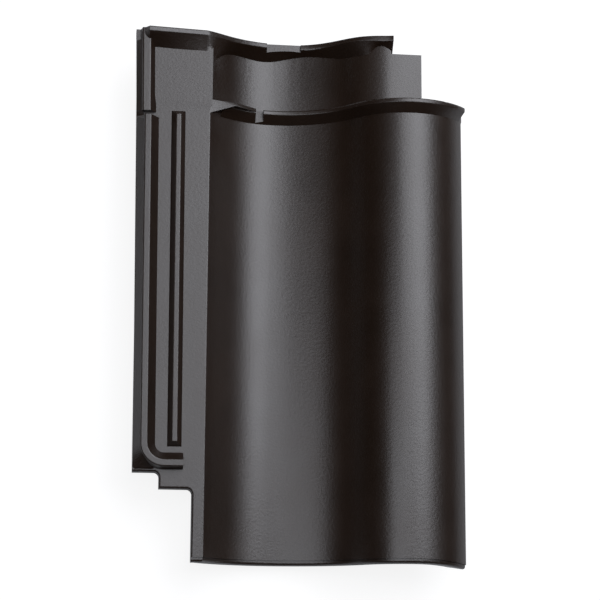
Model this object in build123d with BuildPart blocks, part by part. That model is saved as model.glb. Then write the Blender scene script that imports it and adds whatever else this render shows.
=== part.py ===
"""Interlocking clay pantile, one pressed and fired piece.

Millimetres. X runs across the tile, Y towards the head, Z up. The tile lies face up.
Cross sections are drawn from the outer left edge and from the top of the valley.
"""
import os
from math import acos, cos, degrees, hypot, radians, sin

from build123d import *

# Overall size
tile_length = 411
clay_thickness = 11
rest_drop = 7

# Wave of the tile face
brim_width = 55.3
brim_round = 2
valley_left_radius = 64
valley_left_angle = 55
valley_right_radius = 81
flank_angle = 50
roll_radius = 53
roll_fall_angle = 54
roll_edge_round = 0.6

# Head lap, the lower part that slides under the next tile
head_lap = 65
head_flank_angle = 44
head_roll_radius = 46
tab_width = 24
tab_thickness = 7
tab_length = 51.5
plate_rise = 1.2
plate_length = 54
plate_ramp = 6
plate_overhang = 1.2
plate_depth = 4
head_flare = 3.6
side_flare = 0.5
side_bend_from_head = 111
tail_inset = 2

# Head rim, whose height follows the wave
rim_width = 12
rim_corner_width = 15
rim_brim_width = 18
rim_shoulder_width = 14.5
rim_top_width = 4
rim_root = 3
rim_round = 1.4
rim_tip_place = 0.3
rim_tip_height = 3
rim_corner_place = 6.5
rim_corner_height = 11
rim_brim_end = 4
rim_brim_height = 6.2
rim_edge_height = 4.4
rim_shoulder_height = 8
rim_shoulder_angle = 42
rim_bend_height = 10
rim_bend_angle = 20
rim_valley_height = 9
rim_flank_height = 7
rim_flank_angle = 34
rim_roll_height = 5.7
rim_roll_angle = 20
rim_end_height = 6
rim_end_reach = 1
rim_notch_place = 114
rim_notch_width = 27
rim_notch_floor = 7

# Second rib, below the rim
rib_height = 6
rib_width = 10.5
rib_slope_run = 7
rib_root = 3
rib_round = 1.4
rib_lead_angle = 44
rib_fall_angle = 48.5
rib_notch_place = 95.5
rib_notch_width = 6.2
rib_notch_floor = 2.5
chord_width = 20
chord_fall = 6
chord_run = 8
chord_depth = 8

# Side lock on the left: outer rib, water channel and inner rib, which lean out towards the head
lock_thickness = 9.5
lock_round = 1.8
ledge_width = 5.2
outer_rib_height = 8.5
outer_rib_foot = 12.8
outer_rib_top = 5.2
outer_rib_flank = 1.5
outer_rib_round = 1.4
outer_rib_lean = 2.6
outer_rib_from_head = 71
head_bead_from_head = 67
head_bead_ledge = 3.7
head_bead_height = 6
head_bead_foot = 11.8
head_bead_top = 6.3
head_bead_flank = 1.1
head_bead_lean = 1.2
inner_rib_place = 31.4
inner_rib_height = 4.8
inner_rib_foot = 10.8
inner_rib_flank_angle = 36
inner_rib_round = 1.5
inner_rib_from_tail = 85
inner_rib_from_head = 65
inner_rib_lean_angle = 0.4

# The outer rib turns across the channel near the tail
turn_from_tail = 87
turn_radius = 19.5
turn_run = 14

# Corner cut at the tail that clears the neighbour
lip_from_tail = 66
lip_width = 21.4
step_from_tail = 53.8
tail_strip_width = 9.2
corner_round = 4

# Lowered lip along the tail, which drops at the edge of the roll
tail_lip_width = 3.6
tail_lip_drop = 1
tail_round = 2
tail_drop = 3.3
tail_drop_width = 40

# Underside: hanging nibs, tail rib and the lock rib under the roll
nib_length = 14
nib_width = 16
nib_from_head = 38
nib_draft_angle = 6
left_nib_angle = 30
right_nib_angle = 25
tail_rib_from_tail = 38
tail_rib_width = 7
tail_rib_lead_angle = 40
tail_rib_fall_angle = 10
lock_rib_width = 5
lock_rib_place = 10
lock_rib_from_tail = 62
lock_rib_from_head = 79
lock_clearance = 2

# Places that follow from the sizes above
brim_level = valley_left_radius * (1 - cos(radians(valley_left_angle)))
valley_place = brim_width + valley_left_radius * sin(radians(valley_left_angle))
crest_place = valley_place + (valley_right_radius + roll_radius) * sin(radians(flank_angle))
roll_edge = crest_place + roll_radius * sin(radians(roll_fall_angle))
rib_tip = crest_place + (roll_radius + rib_height) * sin(radians(rib_fall_angle))
roll_foot = roll_radius * cos(radians(roll_fall_angle))
lip_fall_angle = degrees(acos(roll_foot / (roll_radius - tail_lip_drop)))
under_fall_angle = degrees(acos(roll_foot / (roll_radius - clay_thickness)))
tab_level = (valley_right_radius + head_roll_radius) * (1 - cos(radians(head_flank_angle)))
tab_place = valley_place + (valley_right_radius + head_roll_radius) * sin(radians(head_flank_angle))
inner_rib_length = tile_length - inner_rib_from_tail - inner_rib_from_head
lock_rib_length = tile_length - lock_rib_from_tail - lock_rib_from_head
step_width = brim_width - tail_strip_width
under_brim = brim_level - lock_thickness
valley_height = rest_drop + clay_thickness
left_edge = (head_flare - max(rib_tip, roll_edge)) / 2
head_y = (tile_length + tail_drop) / 2
tail_y = head_y - tile_length
shoulder_y = head_y - head_lap

# Middle of the clay where the two nibs hang
left_nib_radius = valley_left_radius + clay_thickness / 2
left_nib_place = valley_place - left_nib_radius * sin(radians(left_nib_angle))
left_nib_level = valley_left_radius - left_nib_radius * cos(radians(left_nib_angle))
right_nib_radius = head_roll_radius - clay_thickness / 2
right_nib_place = tab_place - right_nib_radius * sin(radians(right_nib_angle))
right_nib_level = tab_level - head_roll_radius + right_nib_radius * cos(radians(right_nib_angle))


def section_at(place_y):
    """Plane of a cross section: drawn left to right, extruded towards the tail."""
    return Plane(origin=(left_edge, place_y, valley_height), x_dir=(1, 0, 0), z_dir=(0, -1, 0))


def plan_at(level):
    """Plane seen from above: drawn from the outer left edge and the tail."""
    return Plane(origin=(left_edge, tail_y, valley_height + level))


def side_at(place_x, place_y, level, slope):
    """Plane of a section along the tile: drawn towards the head and off the tile face."""
    spot = (left_edge + place_x, place_y, valley_height + level)
    return Plane(origin=spot, x_dir=(0, 1, 0), z_dir=(cos(radians(slope)), 0, -sin(radians(slope))))


def bead_plane(place_x, place_y):
    """Plane of a rib section of the side lock: drawn left to right, standing on the brim."""
    spot = (left_edge + place_x, place_y, valley_height + brim_level)
    return Plane(origin=spot, x_dir=(1, 0, 0), z_dir=(0, -1, 0))


def lead_to(level, lift):
    """Angle at which the lifted wave leaves the valley at this level."""
    return degrees(acos((valley_left_radius - level) / (valley_left_radius - lift)))


def wave_line(lift, lead, flank, crest_radius, fall):
    """Draw the wave, lifted square to the tile face, and give its two ends."""
    slope = radians(lead)
    radius = valley_left_radius - lift
    start = (valley_place - radius * sin(slope), valley_left_radius - radius * cos(slope))
    left = JernArc(start, (cos(slope), -sin(slope)), radius, lead)
    right = JernArc(left @ 1, left % 1, valley_right_radius - lift, flank)
    crest = JernArc(right @ 1, right % 1, crest_radius + lift, -(flank + fall))
    return left @ 0, crest @ 1


def tile_section(edge_place, lowering, flank, crest_radius, fall, under_fall):
    """Draw the section of the clay from an edge of the brim to the end of the wave."""
    top = brim_level - lowering
    top_start, top_end = wave_line(-lowering, lead_to(top, -lowering), flank, crest_radius, fall)
    under_lead = lead_to(under_brim, -clay_thickness)
    under_start, under_end = wave_line(-clay_thickness, under_lead, flank, crest_radius, under_fall)
    Line(top_end, under_end)
    Polyline(under_start, (edge_place, under_brim), (edge_place, top), top_start)
    return top_start


def tail_line(shift):
    """Draw what lies behind the tail, seen from above, with the drop at the edge of the roll."""
    straight = Line((-tile_length, shift), (roll_edge - tail_drop_width, shift))
    drop = TangentArc(straight @ 1, (roll_edge, shift - tail_drop), tangent=(1, 0))
    beyond = drop @ 1 + Vector(tail_drop_width, 0)
    Polyline(drop @ 1, beyond, (beyond.X, -tile_length), (-tile_length, -tile_length), straight @ 0)


def ridge_face(height, width, slope_run, root, top_round):
    """Draw a ridge that slopes towards the tail, stands square to the head and is rounded on top."""
    with BuildSketch(mode=Mode.PRIVATE) as ridge:
        with BuildLine():
            foot = -root * slope_run / height
            Polyline((foot, -root), (slope_run, height), (width, height), (width, -root), close=True)
        make_face()
        fillet(ridge.vertices().group_by(Axis.Y)[-1], top_round)
    add(ridge.sketch)


def left_of_valley(angle, place_y):
    """Place across, along and up of a section on the left arc of the valley."""
    reach = valley_left_radius * sin(radians(angle))
    return valley_place - reach, place_y, valley_left_radius * (1 - cos(radians(angle)))


def rim_face(height, width):
    """Draw one section of the head rim."""
    ridge_face(height, width, width - rim_top_width, rim_root, rim_round)


def bead_face(foot, top, flank, height, top_round):
    """Draw a rib of the side lock, standing on the brim and rounded on top."""
    with BuildSketch(mode=Mode.PRIVATE) as bead:
        with BuildLine():
            Polyline((0, 0), (flank, height), (flank + top, height), (foot, 0), close=True)
        make_face()
        fillet(bead.vertices().group_by(Axis.Y)[-1], top_round)
    add(bead.sketch)


# Lip along the tail, a little lower than the tile face
with BuildPart() as tail_lip:
    with BuildSketch(section_at(tail_y + tail_lip_width + clay_thickness)):
        with BuildLine():
            tile_section(
                step_width, tail_lip_drop, flank_angle, roll_radius, lip_fall_angle, under_fall_angle
            )
        make_face()
    extrude(amount=tail_lip_width + clay_thickness + tail_drop)
    with BuildSketch(plan_at(0)):
        with BuildLine():
            tail_line(0)
        make_face()
    extrude(amount=tile_length, both=True, mode=Mode.SUBTRACT)
    lip_top = tail_lip.faces().filter_by(lambda face: face.normal_at().Z > 0)
    fillet(lip_top.edges().filter_by_position(Axis.Y, tail_y - tail_drop, tail_y), tail_round)

# Wedge that carries the second rib from the flank straight up to the brim
with BuildPart() as rib_chord:
    chord_end = rib_notch_place - rib_notch_width / 2
    with BuildSketch(section_at(shoulder_y + rib_width)):
        with BuildLine():
            Polyline(
                (brim_width - chord_depth, brim_level),
                (brim_width, brim_level),
                (brim_width + chord_width, brim_level - chord_fall),
                (chord_end, rib_notch_floor + rib_height),
                (chord_end, 0),
                (brim_width - chord_depth, brim_level - chord_depth),
                close=True,
            )
        make_face()
    extrude(amount=rib_width)
    with BuildSketch(plan_at(0)):
        with BuildLine():
            Polyline(
                (brim_width, tile_length - head_lap),
                (chord_end, tile_length - head_lap),
                (chord_end, tile_length - head_lap + chord_run),
                (brim_width + chord_width, tile_length - head_lap + chord_run),
                close=True,
            )
        make_face()
    extrude(amount=brim_level, mode=Mode.SUBTRACT)

with BuildPart() as roof_tile:
    # Body, from the second rib down to the tail
    with BuildSketch(section_at(shoulder_y)) as body_section:
        with BuildLine():
            brim_edge = tile_section(
                tail_inset, 0, flank_angle, roll_radius, roll_fall_angle, under_fall_angle
            )
        make_face()
        fillet(body_section.vertices().sort_by_distance(brim_edge)[0], brim_round)
        fillet(body_section.vertices().group_by(Axis.X)[-1], roll_edge_round)
    extrude(amount=tile_length - head_lap + tail_drop)
    with BuildSketch(plan_at(0)):
        with BuildLine():
            tail_line(tail_lip_width)
        make_face()
    extrude(amount=tile_length, both=True, mode=Mode.SUBTRACT)
    add(tail_lip.part)

    # Head lap with a lower, flatter wave
    with BuildSketch(section_at(head_y)):
        with BuildLine():
            tile_section(tail_inset, 0, head_flank_angle, head_roll_radius, 0, 0)
        make_face()
    extrude(amount=head_lap)

    # The outer edge widens towards the head
    with BuildSketch(plan_at(under_brim)):
        with BuildLine():
            Polyline(
                (tail_inset, 0),
                (tail_inset, tile_length),
                (-head_flare, tile_length),
                (-side_flare, tile_length - side_bend_from_head),
                close=True,
            )
        make_face()
    extrude(amount=lock_thickness)

    # Flat tab beside the head of the roll
    with BuildSketch(section_at(shoulder_y + tab_length)):
        with Locations((tab_place, tab_level)):
            Rectangle(tab_width, tab_thickness, align=(Align.MIN, Align.MAX))
    extrude(amount=tab_length)

    # Wall that closes the head end of the roll
    with BuildSketch(section_at(shoulder_y + rib_width)):
        with BuildLine():
            top_start, top_end = wave_line(0, valley_left_angle, flank_angle, roll_radius, roll_fall_angle)
            under_lead = lead_to(under_brim, -clay_thickness)
            under_start, under_end = wave_line(
                -clay_thickness, under_lead, head_flank_angle, head_roll_radius, 0
            )
            tab_corner = (tab_place + tab_width, tab_level - tab_thickness)
            Polyline(top_end, tab_corner, under_end)
            Line(under_start, top_start)
        make_face()
    extrude(amount=rib_width)

    # Raised plate between the head rim and the side lock
    with BuildSketch(side_at(0, head_y, brim_level, 0)):
        with BuildLine():
            Polyline(
                (0, -plate_depth),
                (0, plate_rise),
                (-plate_length, plate_rise),
                (-plate_length - plate_ramp, 0),
                (-plate_length - plate_ramp, -plate_depth),
                close=True,
            )
        make_face()
    extrude(amount=brim_width + plate_overhang)

    # Second rib, swept along the wave, with its chord up to the brim
    with BuildLine(section_at(shoulder_y)) as rib_path:
        wave_line(0, rib_lead_angle, flank_angle, roll_radius, rib_fall_angle)
    with BuildSketch(side_at(*left_of_valley(rib_lead_angle, shoulder_y), rib_lead_angle)):
        ridge_face(rib_height, rib_width, rib_slope_run, rib_root, rib_round)
    sweep(path=rib_path.wires()[0])
    add(rib_chord.part)

    # Head rim: straight along the brim, then lofted through sections set square on the wave
    rim_wave_y = head_y - rim_width
    with BuildSketch(side_at(rim_tip_place, head_y - rim_corner_width, brim_level, 0)):
        rim_face(rim_tip_height, rim_corner_width)
    with BuildSketch(side_at(rim_corner_place, head_y - rim_corner_width, brim_level, 0)):
        rim_face(rim_corner_height, rim_corner_width)
    loft()
    with BuildSketch(side_at(rim_corner_place, head_y - rim_corner_width, brim_level, 0)):
        rim_face(rim_corner_height, rim_corner_width)
    with BuildSketch(side_at(brim_width - rim_brim_end, head_y - rim_brim_width, brim_level, 0)):
        rim_face(rim_brim_height, rim_brim_width)
    loft()
    with BuildSketch(side_at(brim_width - rim_brim_end, head_y - rim_brim_width, brim_level, 0)):
        rim_face(rim_brim_height, rim_brim_width)
    with BuildSketch(side_at(brim_width, head_y - rim_brim_width, brim_level, 0)):
        rim_face(rim_edge_height, rim_brim_width)
    shoulder = left_of_valley(rim_shoulder_angle, head_y - rim_shoulder_width)
    with BuildSketch(side_at(*shoulder, rim_shoulder_angle)):
        rim_face(rim_shoulder_height, rim_shoulder_width)
    with BuildSketch(side_at(*left_of_valley(rim_bend_angle, rim_wave_y), rim_bend_angle)):
        rim_face(rim_bend_height, rim_width)
    with BuildSketch(side_at(*left_of_valley(0, rim_wave_y), 0)):
        rim_face(rim_valley_height, rim_width)
    flank_reach = valley_right_radius * sin(radians(rim_flank_angle))
    flank_rise = valley_right_radius * (1 - cos(radians(rim_flank_angle)))
    with BuildSketch(side_at(valley_place + flank_reach, rim_wave_y, flank_rise, -rim_flank_angle)):
        rim_face(rim_flank_height, rim_width)
    roll_reach = head_roll_radius * sin(radians(rim_roll_angle))
    roll_drop = head_roll_radius * (1 - cos(radians(rim_roll_angle)))
    with BuildSketch(side_at(tab_place - roll_reach, rim_wave_y, tab_level - roll_drop, -rim_roll_angle)):
        rim_face(rim_roll_height, rim_width)
    with BuildSketch(side_at(tab_place + rim_end_reach, rim_wave_y, tab_level, 0)):
        rim_face(rim_end_height, rim_width)
    loft()

    # Notches that drain the head rim and the second rib in the valley
    with BuildSketch(plan_at(rim_notch_floor)):
        with Locations((rim_notch_place, tile_length)):
            Rectangle(rim_notch_width, rim_width, align=(Align.CENTER, Align.MAX))
    extrude(amount=brim_level, mode=Mode.SUBTRACT)
    with BuildSketch(plan_at(rib_notch_floor)):
        with Locations((rib_notch_place, tile_length - head_lap)):
            Rectangle(rib_notch_width, rib_width, align=(Align.CENTER, Align.MIN))
    extrude(amount=brim_level, mode=Mode.SUBTRACT)

    # Corner cut at the tail
    with BuildSketch(plan_at(0)) as corner_cut:
        with BuildLine():
            Polyline(
                (0, 0),
                (step_width, 0),
                (step_width, step_from_tail),
                (lip_width, step_from_tail),
                (lip_width, lip_from_tail),
                (0, lip_from_tail),
                close=True,
            )
        make_face()
        fillet(corner_cut.vertices().sort_by_distance((lip_width, lip_from_tail, 0))[0], corner_round)
        fillet(corner_cut.vertices().sort_by_distance((step_width, step_from_tail, 0))[0], corner_round)
    extrude(amount=tile_length, both=True, mode=Mode.SUBTRACT)
    cut_corner = (left_edge + step_width, tail_y + lip_from_tail, valley_height + brim_level)
    brim_face = roof_tile.faces().filter_by(Axis.Z).sort_by_distance(cut_corner)[0]
    cut_edges = brim_face.edges().filter_by_position(Axis.Y, tail_y + step_from_tail, tail_y + lip_from_tail)
    fillet(cut_edges, lock_round)

    # Outer rib of the side lock, swept down the side and round across the channel
    with BuildLine(plan_at(brim_level)) as outer_path:
        rib_head = (ledge_width - outer_rib_lean, tile_length - outer_rib_from_head)
        down = Line(rib_head, (ledge_width, turn_from_tail))
        turn = JernArc(down @ 1, down % 1, turn_radius, 90)
        Line(turn @ 1, turn @ 1 + turn_run * (turn % 1))
    with BuildSketch(bead_plane(ledge_width - outer_rib_lean, head_y - outer_rib_from_head)):
        bead_face(outer_rib_foot, outer_rib_top, outer_rib_flank, outer_rib_height, outer_rib_round)
    sweep(path=outer_path.wires()[0])

    # Head bead, the lower part of the outer rib beside the plate
    with BuildSketch(bead_plane(head_bead_ledge - head_flare, head_y)):
        bead_face(head_bead_foot, head_bead_top, head_bead_flank, head_bead_height, outer_rib_round)
    head_bead_length = hypot(head_bead_lean, head_bead_from_head)
    extrude(amount=head_bead_length, dir=(head_bead_lean, -head_bead_from_head, 0))

    # Inner rib of the side lock
    with BuildSketch(plan_at(brim_level)):
        with Locations((inner_rib_place, inner_rib_from_tail + inner_rib_length / 2)):
            Rectangle(inner_rib_foot, inner_rib_length, rotation=inner_rib_lean_angle)
    extrude(amount=inner_rib_height, taper=inner_rib_flank_angle)
    fillet(roof_tile.edges(Select.LAST).group_by(Axis.Z)[-1], inner_rib_round)

    # Hanging nibs on the underside
    with BuildSketch(plan_at(left_nib_level)):
        with Locations((left_nib_place, tile_length - nib_from_head)):
            Rectangle(nib_width, nib_length)
    extrude(amount=-(valley_height + left_nib_level), taper=nib_draft_angle)
    with BuildSketch(plan_at(right_nib_level)):
        with Locations((right_nib_place, tile_length - nib_from_head)):
            Rectangle(nib_width, nib_length)
    extrude(amount=-(valley_height + right_nib_level), taper=nib_draft_angle)

    # Rib across the underside of the tail
    with BuildSketch(section_at(tail_y + tail_rib_from_tail)):
        with BuildLine():
            rib_wave = (tail_rib_lead_angle, flank_angle, roll_radius, tail_rib_fall_angle)
            top_start, top_end = wave_line(-clay_thickness / 2, *rib_wave)
            under_start, under_end = wave_line(-clay_thickness - rest_drop, *rib_wave)
            Line(top_end, under_end)
            Line(under_start, top_start)
        make_face()
    extrude(amount=tail_rib_width)

    # Lock rib under the roll, above the neighbour's water channel
    with BuildSketch(section_at(tail_y + lock_rib_from_tail + lock_rib_length)):
        with Locations((crest_place + lock_rib_place, brim_level + lock_clearance)):
            Rectangle(lock_rib_width, clay_thickness, align=(Align.CENTER, Align.MIN))
    extrude(amount=lock_rib_length)

os.makedirs("parts", exist_ok=True)
roof_tile.part.label = "roof_tile"
export_step(roof_tile.part, "parts/roof_tile.step")
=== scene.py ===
"""Clay roof tile: looks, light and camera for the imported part. Metres, in the part's own frame."""
from math import cos, pi, radians, sin

import bmesh
import bpy
from mathutils import Matrix, Vector


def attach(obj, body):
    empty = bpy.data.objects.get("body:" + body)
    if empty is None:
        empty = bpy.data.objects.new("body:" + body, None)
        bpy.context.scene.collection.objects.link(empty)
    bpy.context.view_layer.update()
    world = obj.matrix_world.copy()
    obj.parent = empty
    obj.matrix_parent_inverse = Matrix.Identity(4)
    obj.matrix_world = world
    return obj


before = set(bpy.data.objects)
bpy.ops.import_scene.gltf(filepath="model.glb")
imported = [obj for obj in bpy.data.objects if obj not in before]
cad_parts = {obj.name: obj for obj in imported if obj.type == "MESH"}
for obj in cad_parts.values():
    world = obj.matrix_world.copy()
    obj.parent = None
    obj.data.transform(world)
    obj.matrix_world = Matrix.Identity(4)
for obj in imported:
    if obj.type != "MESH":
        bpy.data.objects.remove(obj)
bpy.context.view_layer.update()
scene = bpy.context.scene
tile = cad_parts["roof_tile"]


# Small helpers for shader nodes
def node(tree, kind, **sockets):
    """Add a shader node and set its plain input values."""
    made = tree.nodes.new(kind)
    for name, value in sockets.items():
        made.inputs[name.replace("_", " ")].default_value = value
    return made


def calc(tree, operation, first, second):
    """Work out one value from two; each is a number or an output socket."""
    made = tree.nodes.new("ShaderNodeMath")
    made.operation = operation
    for socket, value in zip(made.inputs, (first, second)):
        if isinstance(value, (int, float)):
            socket.default_value = value
        else:
            tree.links.new(value, socket)
    return made.outputs[0]


def span(tree, value, **limits):
    """Run from one pair of limits to another, 0 and 1 unless given, with the value."""
    made = node(tree, "ShaderNodeMapRange", **limits)
    tree.links.new(value, made.inputs["Value"])
    return made.outputs[0]


# Edges of the tile: the pressed clay has no sharp corner, and the engobe rounds it further
def soften(obj):
    weld = obj.modifiers.new("join_seams", "WELD")
    weld.merge_threshold = 0.00002
    bevel = obj.modifiers.new("soft_edges", "BEVEL")
    bevel.width = 0.0007
    bevel.segments = 3
    bevel.limit_method = "ANGLE"
    bevel.angle_limit = radians(28)
    even = obj.modifiers.new("flat_faces_stay_flat", "WEIGHTED_NORMAL")
    even.mode = "FACE_AREA"
    even.weight = 50


# Satin engobe on fired clay: brown-black, with a fine peel
def flank_swell(tree, x):
    """Slow swell of the flank between the valley and the roll, in metres."""
    valley_x, crest_x = -0.01776, 0.08489
    rise, fall, depth = 5, 4, 0.0030
    deepest = rise / (rise + fall)
    share = span(tree, x, From_Min=valley_x, From_Max=crest_x)
    up = calc(tree, "POWER", share, rise)
    down = calc(tree, "POWER", calc(tree, "SUBTRACT", 1, share), fall)
    both = calc(tree, "MULTIPLY", up, down)
    return calc(tree, "MULTIPLY", both, -depth / (deepest ** rise * (1 - deepest) ** fall))


def engobe():
    mat = bpy.data.materials.new("satin_engobe")
    mat.use_nodes = True
    tree = mat.node_tree
    shader = tree.nodes["Principled BSDF"]
    shader.inputs["Specular IOR Level"].default_value = 0.75
    place = node(tree, "ShaderNodeTexCoord").outputs["Object"]

    # Cloudy colour and sheen
    cloud = node(tree, "ShaderNodeTexNoise", Scale=22.0, Detail=5.0, Roughness=0.6)
    tree.links.new(place, cloud.inputs["Vector"])
    tint = tree.nodes.new("ShaderNodeValToRGB")
    dark, light = tint.color_ramp.elements
    dark.position, dark.color = 0.35, (0.0100, 0.0042, 0.0014, 1)
    light.position, light.color = 0.7, (0.0135, 0.0058, 0.0022, 1)
    tree.links.new(cloud.outputs["Fac"], tint.inputs["Fac"])
    tree.links.new(tint.outputs["Color"], shader.inputs["Base Color"])
    sheen = span(tree, cloud.outputs["Fac"], From_Min=0.3, From_Max=0.7, To_Min=0.34, To_Max=0.39)
    tree.links.new(sheen, shader.inputs["Roughness"])

    # Relief: the slow swell first, then the fine peel on it
    across = tree.nodes.new("ShaderNodeSeparateXYZ")
    tree.links.new(place, across.inputs[0])
    pressed = node(tree, "ShaderNodeBump", Strength=1.0, Distance=1.0)
    tree.links.new(flank_swell(tree, across.outputs["X"]), pressed.inputs["Height"])
    peel = node(tree, "ShaderNodeTexNoise", Scale=500.0, Detail=3.0, Roughness=0.55)
    tree.links.new(place, peel.inputs["Vector"])
    relief = node(tree, "ShaderNodeBump", Strength=0.2, Distance=0.0006)
    tree.links.new(peel.outputs["Fac"], relief.inputs["Height"])
    tree.links.new(pressed.outputs["Normal"], relief.inputs["Normal"])
    tree.links.new(relief.outputs["Normal"], shader.inputs["Normal"])
    return mat


soften(tile)
for face in tile.data.polygons:
    face.use_smooth = True
clay_skin = engobe()
tile.data.materials.clear()
tile.data.materials.append(clay_skin)


# Outer flank of the side lock's outer rib: it falls from the rib's top to the tile's edge
# and follows the rib's turn
def edge_x(y):
    """The tile's left edge, just inside it; it leans outwards to the head."""
    return -0.12565 - 0.01464 * y


def flank_stations():
    """Points along the flank: x and y at the edge; x, y and height inside the rib."""
    turn_x, turn_y, turn_radius, inside = -0.10078, -0.11685, 0.0195, 0.0012
    tail_edge = -0.1361
    rib_top, bead_top, end_top = 0.0522, 0.0498, 0.0462
    longest, sweep, steps, level_steps = 0.016, 68, 18, 10

    # Along the head bead, over the step to the rib, and down the rib: y, x inside it, height
    guides = (
        (0.198, -0.12400, bead_top),
        (0.1395, -0.12280, bead_top),
        (0.1365, -0.12168, bead_top),
        (0.133, -0.12168, rib_top),
        (turn_y, -0.11908, rib_top),
    )
    stations = []
    for first, second in zip(guides, guides[1:]):
        pieces = 1 + int((first[0] - second[0]) / longest)
        for piece in range(pieces):
            y, rib_x, height = (a + (b - a) * piece / pieces for a, b in zip(first, second))
            stations.append((edge_x(y), y, rib_x, y, height))
    stations.append((edge_x(turn_y), turn_y, guides[-1][1], turn_y, rib_top))

    # Round the turn, dying out towards its end
    side_reach = turn_x - edge_x(turn_y)
    rib_reach = turn_radius - inside
    for step in range(1, steps + 1):
        angle = radians(180 + sweep * step / steps)
        c, d = cos(angle), sin(angle)
        reach = min(side_reach / -c, (tail_edge - turn_y) / d)
        drop = max(0, (step - level_steps) / (steps - level_steps))
        edge = (turn_x + reach * c, turn_y + reach * d)
        rib = (turn_x + rib_reach * c, turn_y + rib_reach * d)
        stations.append((*edge, *rib, rib_top - (rib_top - end_top) * drop))
    return stations


def rib_flank():
    ledge, sunk = 0.0452, 0.0004
    mesh = bmesh.new()
    rows = []
    for outer_x, outer_y, rib_x, rib_y, height in flank_stations():
        corners = (outer_x, outer_y, ledge), (rib_x, rib_y, height), (rib_x, rib_y, ledge - sunk)
        rows.append([mesh.verts.new(corner) for corner in corners])
    for first, second in zip(rows, rows[1:]):
        for i in range(3):
            j = (i + 1) % 3
            mesh.faces.new((first[i], first[j], second[j], second[i]))
    mesh.faces.new(rows[0])
    mesh.faces.new(rows[-1])
    bmesh.ops.recalc_face_normals(mesh, faces=mesh.faces)
    data = bpy.data.meshes.new("rib_flank")
    mesh.to_mesh(data)
    mesh.free()
    obj = bpy.data.objects.new("rib_flank", data)
    scene.collection.objects.link(obj)
    data.materials.append(clay_skin)
    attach(obj, "root")


rib_flank()


# White floor that shows as white to the camera and keeps the shadow
def floor_paint():
    mat = bpy.data.materials.new("white_floor")
    mat.use_nodes = True
    tree = mat.node_tree
    tree.nodes.clear()
    out = tree.nodes.new("ShaderNodeOutputMaterial")
    plain = node(tree, "ShaderNodeBsdfDiffuse", Color=(0.8, 0.8, 0.8, 1))
    shade = node(tree, "ShaderNodeBsdfDiffuse", Color=(0.22, 0.22, 0.22, 1))
    bright = node(tree, "ShaderNodeEmission", Color=(1, 1, 1, 1), Strength=0.86)
    both = tree.nodes.new("ShaderNodeAddShader")
    tree.links.new(shade.outputs[0], both.inputs[0])
    tree.links.new(bright.outputs[0], both.inputs[1])
    ray = tree.nodes.new("ShaderNodeLightPath")
    pick = tree.nodes.new("ShaderNodeMixShader")
    tree.links.new(ray.outputs["Is Camera Ray"], pick.inputs["Fac"])
    tree.links.new(plain.outputs[0], pick.inputs[1])
    tree.links.new(both.outputs[0], pick.inputs[2])
    tree.links.new(pick.outputs[0], out.inputs["Surface"])
    return mat


bpy.ops.mesh.primitive_plane_add(size=6, location=(0, 0, 0))
floor = bpy.context.object
floor.name = "floor"
floor.data.materials.append(floor_paint())


# Studio light: soft boxes overhead, the strongest on the right towards the head
def placed(place, right, up, back):
    """The transform of a lamp or camera at a place, from its own three axes."""
    return Matrix.Translation(place) @ Matrix((right, up, back)).transposed().to_4x4()


def soft_box(name, place, width, length, brightness):
    """Hang a soft box over the tile, its length running along the tile."""
    data = bpy.data.lights.new(name, "AREA")
    data.shape = "RECTANGLE"
    data.size = width
    data.size_y = length
    data.energy = pi * width * length * brightness
    data.color = (0.92, 0.94, 1.0)
    obj = bpy.data.objects.new(name, data)
    scene.collection.objects.link(obj)
    tile_middle = Vector((0, 0, 0.04))
    back = (Vector(place) - tile_middle).normalized()
    side = Vector((0, 1, 0)).cross(back).normalized()
    obj.matrix_world = placed(place, side, back.cross(side), back)


soft_box("right_box", (0.612, 0.671, 1.357), 0.84, 1.68, 4.8)
soft_box("middle_box", (0.0, 0.494, 1.562), 0.42, 1.68, 3.0)
soft_box("left_box", (-0.612, -0.193, 1.506), 0.84, 0.84, 2.8)
soft_box("far_right_box", (1.131, 0.148, 1.162), 0.42, 2.52, 0.5)

room = bpy.data.worlds.new("room")
scene.world = room
room.use_nodes = True
room_light = room.node_tree.nodes["Background"]
room_light.inputs["Color"].default_value = (1.0, 1.0, 1.0, 1)
room_light.inputs["Strength"].default_value = 0.01


# Camera at the photograph's viewing angle
camera_data = bpy.data.cameras.new("camera")
camera_data.sensor_width = 36
camera_data.lens = 110.588
camera = bpy.data.objects.new("camera", camera_data)
scene.collection.objects.link(camera)
camera.matrix_world = placed(
    (-0.162082, -0.293560, 1.412970),
    Vector((0.99284, 0.006089, 0.119299)),
    Vector((-0.030432, 0.97864, 0.203318)),
    Vector((-0.115512, -0.205493, 0.971818)),
)
scene.camera = camera

scene.view_settings.view_transform = "Standard"
